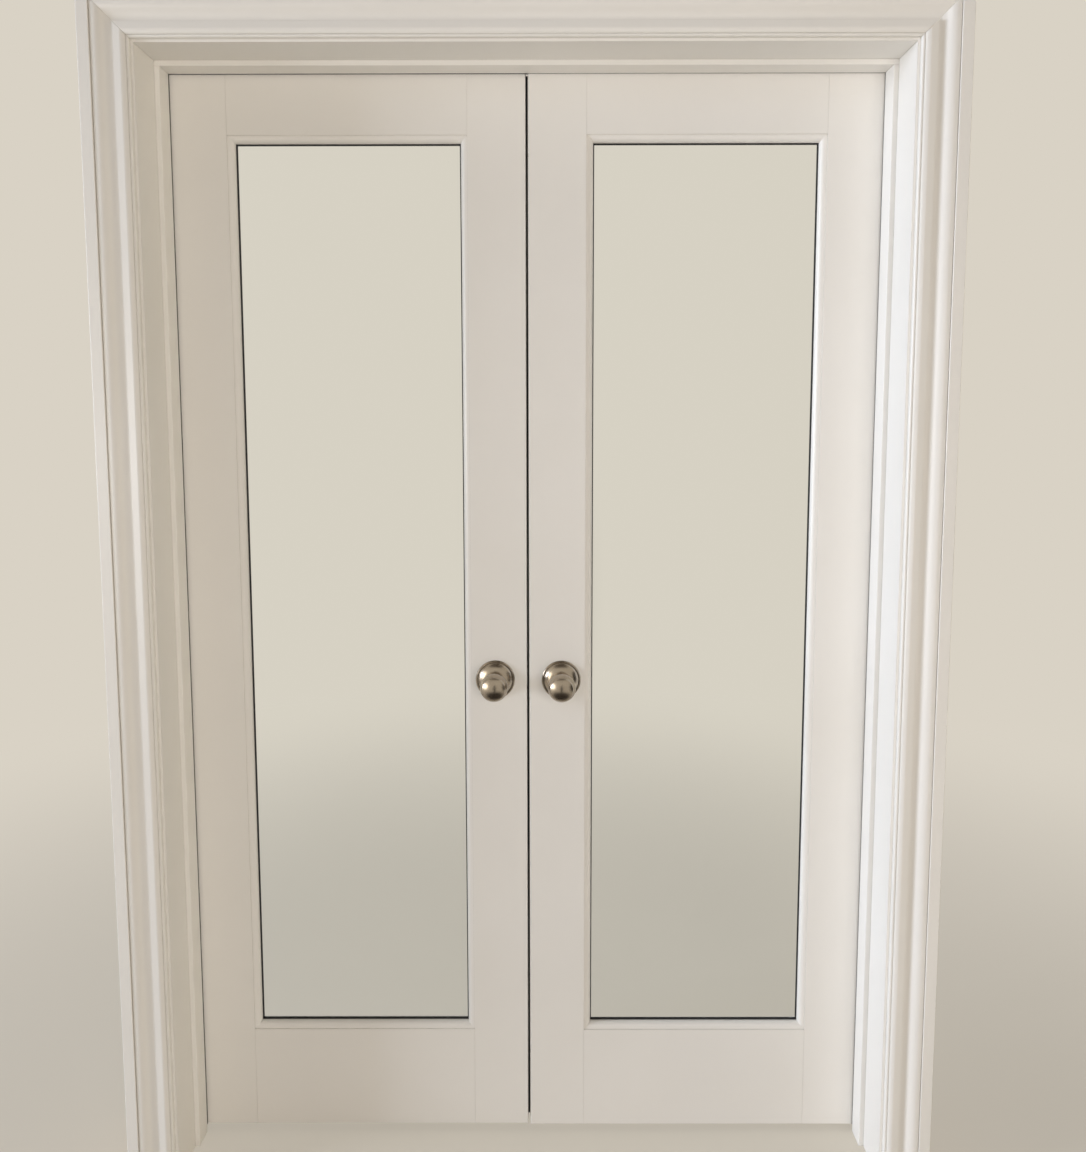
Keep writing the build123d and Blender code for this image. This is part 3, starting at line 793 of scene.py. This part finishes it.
@dataclass(frozen=True)
class FeatheredCloth:
    """Diffusion cloth or black felt on a frame, with a feathered edge.

    The eye gets only its reflection: a pale cloth puts a soft glint on metal, and a dark one
    shows the metal's roundness.
    """

    name: str
    tone: str
    strength: float = 1.0
    feather: float = 0.55

    def build(self) -> bpy.types.Material:
        """Build the cloth, whose edge fades out over the feather's share of its half size.

        Returns:
            The material.
        """
        material, tree = new_material(f"cloth_of_{self.name}")
        spot = add_node(tree, "ShaderNodeTexCoord").outputs["Generated"]
        # From 0 to 1 along each side to -1 to 1, with 0 in the middle
        centred = add_node(
            tree,
            "ShaderNodeVectorMath",
            {0: spot, 1: (2.0, 2.0, 0.0), 2: (-1.0, -1.0, 0.0)},
            operation="MULTIPLY_ADD",
        ).outputs[0]
        reach = add_node(
            tree, "ShaderNodeVectorMath", {0: centred}, operation="LENGTH"
        ).outputs["Value"]
        solid = add_node(
            tree,
            "ShaderNodeMapRange",
            {
                "Value": reach,
                "From Min": 1.0 - self.feather,
                "From Max": 1.0,
                "To Min": 1.0,
                "To Max": 0.0,
            },
            interpolation_type="SMOOTHSTEP",
        ).outputs[0]
        clear = add_node(tree, "ShaderNodeBsdfTransparent")
        cloth = add_node(
            tree,
            "ShaderNodeEmission",
            {"Color": linear(self.tone), "Strength": self.strength},
        )
        mixed = add_node(
            tree, "ShaderNodeMixShader", {0: solid, 1: clear.outputs[0], 2: cloth.outputs[0]}
        )
        close_material(tree, mixed)
        return material


def dress(names: Sequence[str], material: bpy.types.Material) -> None:
    """Give CAD nodes their finish.

    Args:
        names: Names of the nodes.
        material: Finish of their whole surface.
    """
    for name in names:
        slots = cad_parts[name].data.materials
        slots.clear()
        slots.append(material)
    log.info("%s: %s", material.name, ", ".join(names))


def dress_wall_side(
    name: str, material: bpy.types.Material, toward_wall: Vector, depth: float
) -> None:
    """Give the faces of a board that lie against the wall a second finish.

    Args:
        name: Name of the board's node.
        material: Finish of the hidden faces.
        toward_wall: Direction from the board to the wall.
        depth: How far below the outermost face a hidden face may lie.
    """
    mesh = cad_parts[name].data
    mesh.materials.append(material)
    outermost = max(v.co.dot(toward_wall) for v in mesh.vertices)
    for face in mesh.polygons:
        near_wall = face.center.dot(toward_wall) > outermost - depth
        if near_wall and face.normal.dot(toward_wall) > TOWARD_WALL:
            face.material_index = len(mesh.materials) - 1
    log.info("%s toward the wall: %s", material.name, name)


def mesh_piece(
    name: str,
    built: bmesh.types.BMesh,
    material: bpy.types.Material,
    smooth_deg: float = 30.0,
) -> bpy.types.Object:
    """Turn a finished bmesh into a piece of the scene.

    Args:
        name: Name of the piece.
        built: The mesh, which is freed.
        material: Finish of the piece.
        smooth_deg: Edges that turn by less than this are shaded smooth.

    Returns:
        The new object, at the origin of the frame.
    """
    bmesh.ops.recalc_face_normals(built, faces=built.faces)
    mesh = bpy.data.meshes.new(name)
    built.to_mesh(mesh)
    built.free()
    mesh.shade_smooth()
    mesh.set_sharp_from_angle(angle=math.radians(smooth_deg))
    mesh.materials.append(material)
    piece = bpy.data.objects.new(name, mesh)
    bpy.context.scene.collection.objects.link(piece)
    return piece


def solid_boxes(name: str) -> list[tuple[Vector, Vector]]:
    """Find the boxes of the separate solids in one CAD node.

    Args:
        name: Name of the node.

    Returns:
        The lowest and the highest corner of each solid, from the lowest solid up.
    """
    built = bmesh.new()
    built.from_mesh(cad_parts[name].data)
    bmesh.ops.remove_doubles(built, verts=built.verts, dist=WELD)
    unseen = set(built.verts)
    boxes = []
    while unseen:
        solid = [unseen.pop()]
        for vert in solid:
            touching = {edge.other_vert(vert) for edge in vert.link_edges} & unseen
            unseen -= touching
            solid.extend(touching)
        low = Vector(min(v.co[i] for v in solid) for i in range(3))
        high = Vector(max(v.co[i] for v in solid) for i in range(3))
        boxes.append((low, high))
    built.free()
    return sorted(boxes, key=lambda corners: corners[0].z)


@dataclass
class DoorFrame:
    """The painted timber of the frame: jambs, stops and casings."""

    jamb_skin: float = 1.0 * MM
    casing_relief: float = 3.0 * MM

    def build(self, paint: Boards, pine: Boards) -> None:
        """Paint the boards and leave their wall sides bare.

        Args:
            paint: Paint for each grain.
            pine: Bare timber for each grain.
        """
        for side in Side:
            name = side.value
            dress([f"{name}_jamb", f"{name}_stop"], paint[Grain.UPRIGHT])
            dress_wall_side(f"{name}_jamb", pine[Grain.UPRIGHT], side.outward, self.jamb_skin)
            self.dress_casings(name, paint[Grain.UPRIGHT], pine[Grain.UPRIGHT])
        dress(["head_jamb", "head_stop"], paint[Grain.LEVEL])
        dress_wall_side("head_jamb", pine[Grain.LEVEL], UP, self.jamb_skin)
        self.dress_casings("head", paint[Grain.LEVEL], pine[Grain.LEVEL])

    def dress_casings(
        self, place: str, paint: bpy.types.Material, pine: bpy.types.Material
    ) -> None:
        """Paint the casings of one edge of the doorway, but not their hollow backs.

        Args:
            place: The edge, as the casings' names end.
            paint: Finish of what shows.
            pine: Finish of what the wall hides.
        """
        for face, toward_wall in (("front", BACK), ("back", -BACK)):
            casing = f"{face}_casing_{place}"
            dress([casing], paint)
            dress_wall_side(casing, pine, toward_wall, self.casing_relief)


@dataclass
class Leaf:
    """One glazed leaf: stiles, rails, beads, pane and gasket."""

    side: Side

    def build(
        self, paint: Boards, glass: bpy.types.Material, rubber: bpy.types.Material
    ) -> None:
        """Dress the leaf's own pieces.

        Args:
            paint: Paint for each grain.
            glass: Finish of the pane.
            rubber: Finish of the gasket.
        """
        name = self.side.value
        dress([f"{name}_hinge_stile", f"{name}_lock_stile"], paint[Grain.UPRIGHT])
        dress([f"{name}_top_rail", f"{name}_bottom_rail"], paint[Grain.LEVEL])
        dress([f"{name}_glazing_beads"], paint[Grain.UPRIGHT])
        dress([f"{name}_glass"], glass)
        dress([f"{name}_gasket"], rubber)


@dataclass(frozen=True)
class Seat:
    """Where one screw sits: the middle of its head's rim, and the way it is driven in."""

    place: Vector
    into: Vector


@dataclass(frozen=True)
class WoodScrew:
    """A countersunk wood screw with a cross recess; crown is how far its head stands proud."""

    head_radius: float = 4.0 * MM
    shank_radius: float = 2.0 * MM
    head_depth: float = 2.3 * MM
    length: float = 17.0 * MM
    crown: float = 0.0
    point: float = 3.0 * MM
    arm: float = 2.2 * MM
    arm_half_width: float = 0.45 * MM
    recess_depth: float = 1.5 * MM
    recess_taper: float = 0.55
    rim_ease: float = 0.2 * MM
    sides: int = 28

    def circle(self, radius: float, depth: float) -> list[Vector]:
        """Points of a circle round the screw, at a depth below the head's rim."""
        angles = [2 * math.pi * k / self.sides for k in range(self.sides)]
        return [Vector((radius * math.cos(a), radius * math.sin(a), depth)) for a in angles]

    def cross(self, scale: float, depth: float, turn: float) -> list[Vector]:
        """Outline the cross recess at one depth.

        Args:
            scale: Size there, as a share of the recess's mouth.
            depth: Depth below the head's rim.
            turn: Angle of the first arm.

        Returns:
            The twelve corners, in order.
        """
        tip, half = self.arm * scale, self.arm_half_width * scale
        corners = []
        for quarter in range(4):
            arm = Matrix.Rotation(turn + quarter * math.pi / 2, 3, "Z")
            for reach, side in ((half, -half), (tip, -half), (tip, half)):
                corners.append(arm @ Vector((reach, side, depth)))
        return corners

    def add_to(self, built: bmesh.types.BMesh, seat: Seat, turn: float) -> None:
        """Add one screw to a mesh.

        Args:
            built: Mesh that gets the screw.
            seat: Its place and direction.
            turn: Angle of the cross, because no two screws stop alike.
        """
        turned = seat.into.to_track_quat("Z", "Y").to_matrix().to_4x4()
        stand = Matrix.Translation(seat.place) @ turned
        outside = [
            self.circle(self.head_radius - self.rim_ease, -self.crown),
            self.circle(self.head_radius, self.rim_ease),
            self.circle(self.shank_radius, self.head_depth),
            self.circle(self.shank_radius, self.length - self.point),
            self.circle(self.rim_ease, self.length),
        ]
        recess = [
            self.cross(1.0, -self.crown, turn),
            self.cross(self.recess_taper, self.recess_depth - self.crown, turn),
        ]
        rim_edges = []
        for outline in (outside, recess):
            rings = [[built.verts.new(stand @ spot) for spot in ring] for ring in outline]
            for first, second in zip(rings, rings[1:]):
                for k, vert in enumerate(first):
                    built.faces.new((first[k - 1], vert, second[k], second[k - 1]))
            built.faces.new(rings[-1])
            rim_edges += [built.edges.get((rings[0][k - 1], v)) for k, v in enumerate(rings[0])]
        bmesh.ops.triangle_fill(built, use_beauty=True, use_dissolve=False, edges=rim_edges)


@dataclass
class Screws:
    """The wood screws of the hinges, faceplate, strikes and flush bolts."""

    metal: bpy.types.Material
    hinge_turn_deg: float = 37.0
    plate_turns_deg: tuple[float, float] = (-30.0, 70.0)
    end_margin: float = 8.0 * MM
    smooth_deg: float = 35.0
    slot: str = "satin_nickel"
    hinge_screw: WoodScrew = WoodScrew()
    plate_screw: WoodScrew = WoodScrew(
        head_radius=3.4 * MM,
        shank_radius=1.5 * MM,
        head_depth=1.6 * MM,
        length=3.5 * MM,
        crown=0.7 * MM,
        point=1.0 * MM,
        arm=1.8 * MM,
        arm_half_width=0.4 * MM,
        recess_depth=0.65 * MM,
    )

    def build(self) -> None:
        """Drive every screw."""
        for side in Side:
            self.fit_hinge(f"{side.value}_frame_hinge", "frame", side.outward)
            self.fit_hinge(f"{side.value}_door_hinge", f"{side.value}_leaf", -side.outward)
        self.fit_plate("latch_faceplate", "left_leaf", -RIGHT, UP)
        self.fit_plate("strike_plate", "right_leaf", RIGHT, UP)
        self.fit_plate("top_bolt_case", "right_leaf", RIGHT, UP)
        self.fit_plate("bottom_bolt_case", "right_leaf", RIGHT, UP)
        self.fit_plate("head_bolt_strike", "frame", UP, RIGHT)

    def fit_hinge(self, hinge: str, body: str, into: Vector) -> None:
        """Put detailed screws in the places of a hinge's plain ones.

        Args:
            hinge: Start of the names of the hinge's nodes.
            body: Body that the screws ride on.
            into: Direction in which they are driven.
        """
        node = f"{hinge}_screws"
        built = bmesh.new()
        for number, (low, high) in enumerate(solid_boxes(node)):
            place = (low + high) / 2
            place.x = low.x if into.x > 0 else high.x
            turn = math.radians(self.hinge_turn_deg * number)
            self.hinge_screw.add_to(built, Seat(place, into), turn)
        piece = mesh_piece(f"{hinge}_wood_screws", built, self.metal, self.smooth_deg)
        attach(piece, body)
        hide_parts(node)
        log.info("%s", piece.name)

    def fit_plate(self, plate: str, body: str, into: Vector, along: Vector) -> None:
        """Put a screw near each end of a plate.

        Args:
            plate: Name of the plate's node.
            body: Body that the screws ride on.
            into: Direction in which they are driven.
            along: Direction of the plate's length.
        """
        low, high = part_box(plate)
        middle, half = (low + high) / 2, (high - low) / 2
        face = middle - into * abs(half.dot(into))
        reach = half.dot(along) - self.end_margin
        built = bmesh.new()
        for end, turn_deg in zip((-1, 1), self.plate_turns_deg):
            seat = Seat(face + along * end * reach, into)
            self.plate_screw.add_to(built, seat, math.radians(turn_deg))
        piece = mesh_piece(f"{plate}_screws", built, self.metal, self.smooth_deg)
        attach(piece, body)
        log.info("%s", piece.name)


@dataclass
class Hardware:
    """Hinges, knobs, latch, flush bolts and rubber seals."""

    plated: tuple[str, ...] = (
        "latch_faceplate",
        "latch_bolt",
        "strike_plate",
        "head_bolt_strike",
        "top_bolt_case",
        "bottom_bolt_case",
        "top_bolt_rod",
        "bottom_bolt_rod",
    )
    inner_steel: tuple[str, ...] = ("latch_case", "left_rose_bolts", "spindle", "dummy_stud")
    seals: tuple[str, ...] = ("meeting_seal", "left_stop_seal", "right_stop_seal")

    def build(self, rubber: bpy.types.Material) -> None:
        """Dress the metal pieces and the seals, and drive the screws.

        Args:
            rubber: Finish of the seals.
        """
        plate = SatinNickel(Lay.BRUSHED).build()
        steel = ZincPlate().build()
        for side in Side:
            self.dress_knobs(side)
            name = side.value
            dress([f"{name}_frame_hinge_plates", f"{name}_door_hinge_plates"], plate)
            dress([f"{name}_hinge_pins"], plate)
        dress(self.plated, plate)
        dress(self.inner_steel, steel)
        dress(self.seals, rubber)
        Screws(plate).build()

    def dress_knobs(self, side: Side) -> None:
        """Give one side's knobs and roses a finish with rings about their own axis.

        Args:
            side: The leaf that carries them.
        """
        name = side.value
        low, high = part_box(f"{name}_near_knob")
        axis = ((low.x + high.x) / 2, (low.z + high.z) / 2)
        turned = SatinNickel(Lay.TURNED, axis).build()
        dress([f"{name}_near_knob", f"{name}_far_knob"], turned)
        dress([f"{name}_near_rose", f"{name}_far_rose"], turned)


@dataclass(frozen=True)
class SoftBox:
    """A square lamp behind cloth; mirrored tells whether shiny things reflect it."""

    name: str
    place: Point
    size: float
    watts: float
    colour: str
    mirrored: bool = False


@dataclass(frozen=True)
class Card:
    """Cloth hung in the studio to be reflected; place is its middle."""

    cloth: FeatheredCloth
    place: Point
    width: float
    height: float


@dataclass
class Studio:
    """Floor, backdrop, lamps, reflected cards and camera.

    The key lamp grazes the doors from the left as daylight does. The cards stand in for the
    bright and dark sides of a room, which only reflections show.
    """

    backdrop: str = "#D9D2C5"
    ambient: str = "#FFF4E6"
    ambient_strength: float = 0.12
    floor_radius: float = 9.0
    floor_sides: int = 96
    lamp_aim: Point = (0.0, 0.0, 1.1)
    lamps: tuple[SoftBox, ...] = (
        SoftBox("key", (-10.0, -2.4, 2.2), size=3.0, watts=920.0, colour="#E4ECFA", mirrored=True),
        SoftBox("fill", (0.8, -4.0, 1.1), size=2.0, watts=66.0, colour="#FFF7EF"),
        SoftBox("right", (10.0, -2.4, 2.2), size=3.0, watts=140.0, colour="#FFF0D0"),
        SoftBox("rear", (0.5, 6.0, 3.0), size=3.0, watts=170.0, colour="#F7F9FF"),
    )
    cards: tuple[Card, ...] = (
        Card(
            FeatheredCloth("glow", "#FFF8EC", strength=7.0, feather=1.0),
            place=(-2.3, -1.9, 1.2),
            width=2.2,
            height=2.0,
        ),
        Card(
            FeatheredCloth("right_flag", "#2E2823"),
            place=(2.2, -0.9, 0.9),
            width=2.6,
            height=2.6,
        ),
        Card(
            FeatheredCloth("low_flag", "#3A342E"),
            place=(0.0, -0.6, 0.25),
            width=2.0,
            height=1.3,
        ),
        Card(
            FeatheredCloth("high_flag", "#5F564C"),
            place=(0.0, -0.9, 2.9),
            width=3.4,
            height=2.2,
        ),
        Card(
            FeatheredCloth("slim_flag", "#120F0D", feather=0.3),
            place=(0.03, -2.0, 0.75),
            width=0.5,
            height=1.6,
        ),
    )
    unseen_by: tuple[str, ...] = ("camera", "diffuse", "transmission", "volume_scatter", "shadow")
    focal_px: float = 1000.0
    photo_size_px: tuple[int, int] = (1086, 1152)
    axis_px: tuple[float, float] = (541.1, 512.6)
    camera_aside: float = 0.0285
    camera_back: float = 1.7393
    camera_height: float = 1.432
    camera_down_deg: float = 5.76
    camera_yaw_deg: float = -0.11
    camera_roll_deg: float = -0.08
    sensor_mm: float = 36.0

    def build(self) -> None:
        """Set the stage round the doors."""
        self.set_world()
        self.lay_floor()
        for lamp in self.lamps:
            self.hang_lamp(lamp)
        for card in self.cards:
            self.hang_card(card)
        self.place_camera()

    def set_world(self) -> None:
        """Surround the doors with soft light, and show the backdrop's colour behind them."""
        world = bpy.data.worlds.new("studio")
        bpy.context.scene.world = world
        world.use_nodes = True
        tree = world.node_tree
        tree.nodes.clear()
        air = add_node(
            tree,
            "ShaderNodeBackground",
            {"Color": linear(self.ambient), "Strength": self.ambient_strength},
        )
        paper = add_node(
            tree, "ShaderNodeBackground", {"Color": linear(self.backdrop), "Strength": 1.0}
        )
        mixed = add_node(
            tree,
            "ShaderNodeMixShader",
            {0: shows_backdrop(tree), 1: air.outputs[0], 2: paper.outputs[0]},
        )
        add_node(tree, "ShaderNodeOutputWorld", {"Surface": mixed.outputs[0]})

    def lay_floor(self) -> None:
        """Lay a round sheet of paper under the doors."""
        built = bmesh.new()
        bmesh.ops.create_circle(
            built, cap_ends=True, segments=self.floor_sides, radius=self.floor_radius
        )
        floor = mesh_piece("studio_floor", built, StudioPaper(self.backdrop).build())

    def hang_lamp(self, box: SoftBox) -> None:
        """Hang one lamp, which the camera doesn't see, and face it to the doors.

        Args:
            box: The lamp.
        """
        data = bpy.data.lights.new(box.name, "AREA")
        data.size = box.size
        data.energy = box.watts
        data.color = linear(box.colour)[:3]
        lamp = bpy.data.objects.new(box.name, data)
        lamp.matrix_world = facing(box.place, self.lamp_aim)
        lamp.visible_camera = False
        lamp.visible_transmission = False
        lamp.visible_glossy = box.mirrored
        bpy.context.scene.collection.objects.link(lamp)
        log.info("lamp %s", box.name)

    def hang_card(self, card: Card) -> None:
        """Hang one card, which only reflections show, and face it to the knobs.

        Args:
            card: The card.
        """
        knobs = (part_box("left_near_knob")[0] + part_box("right_near_knob")[1]) / 2
        half_metre = 0.5
        built = bmesh.new()
        bmesh.ops.create_grid(built, size=half_metre)
        bmesh.ops.scale(built, vec=(card.width, card.height, 1.0), verts=built.verts)
        piece = mesh_piece(f"studio_{card.cloth.name}", built, card.cloth.build())
        piece.matrix_world = facing(card.place, tuple(knobs))
        for ray in self.unseen_by:
            setattr(piece, f"visible_{ray}", False)
        log.info("card %s", card.cloth.name)

    def place_camera(self) -> None:
        """Stand the camera where the photograph was taken from."""
        yaw = math.radians(self.camera_yaw_deg)
        down = math.radians(self.camera_down_deg)
        ahead = Vector(
            (math.sin(yaw) * math.cos(down), math.cos(yaw) * math.cos(down), -math.sin(down))
        )
        right = Vector((math.cos(yaw), -math.sin(yaw), 0.0))
        level = Matrix((right, right.cross(ahead), -ahead)).transposed()
        roll = Matrix.Rotation(math.radians(self.camera_roll_deg), 3, "Z")
        width, height = self.photo_size_px
        data = bpy.data.cameras.new("camera")
        data.sensor_width = self.sensor_mm
        data.lens = self.focal_px * self.sensor_mm / height
        data.shift_x = (width / 2 - self.axis_px[0]) / height
        data.shift_y = (self.axis_px[1] - height / 2) / height
        camera = bpy.data.objects.new("camera", data)
        camera.matrix_world = (level @ roll).to_4x4()
        jamb_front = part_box("left_jamb")[0].y
        camera.location = (self.camera_aside, jamb_front - self.camera_back, self.camera_height)
        bpy.context.scene.collection.objects.link(camera)
        bpy.context.scene.camera = camera
        log.info("camera at %s", tuple(camera.location))


def main() -> None:
    """Dress the frame and set the studio."""
    logging.basicConfig(level=logging.INFO, format="%(name)s: %(message)s")
    bpy.context.scene.view_settings.view_transform = "Standard"
    glass = FloatGlass().build()
    rubber = ExtrudedRubber().build()
    paint = {grain: SemiGlossPaint(grain).build() for grain in Grain}
    pine = {grain: SawnPine(grain).build() for grain in Grain}
    DoorFrame().build(paint, pine)
    for side in Side:
        Leaf(side).build(paint, glass, rubber)
    Hardware().build(rubber)
    Studio().build()


if __name__ == "__main__":
    main()
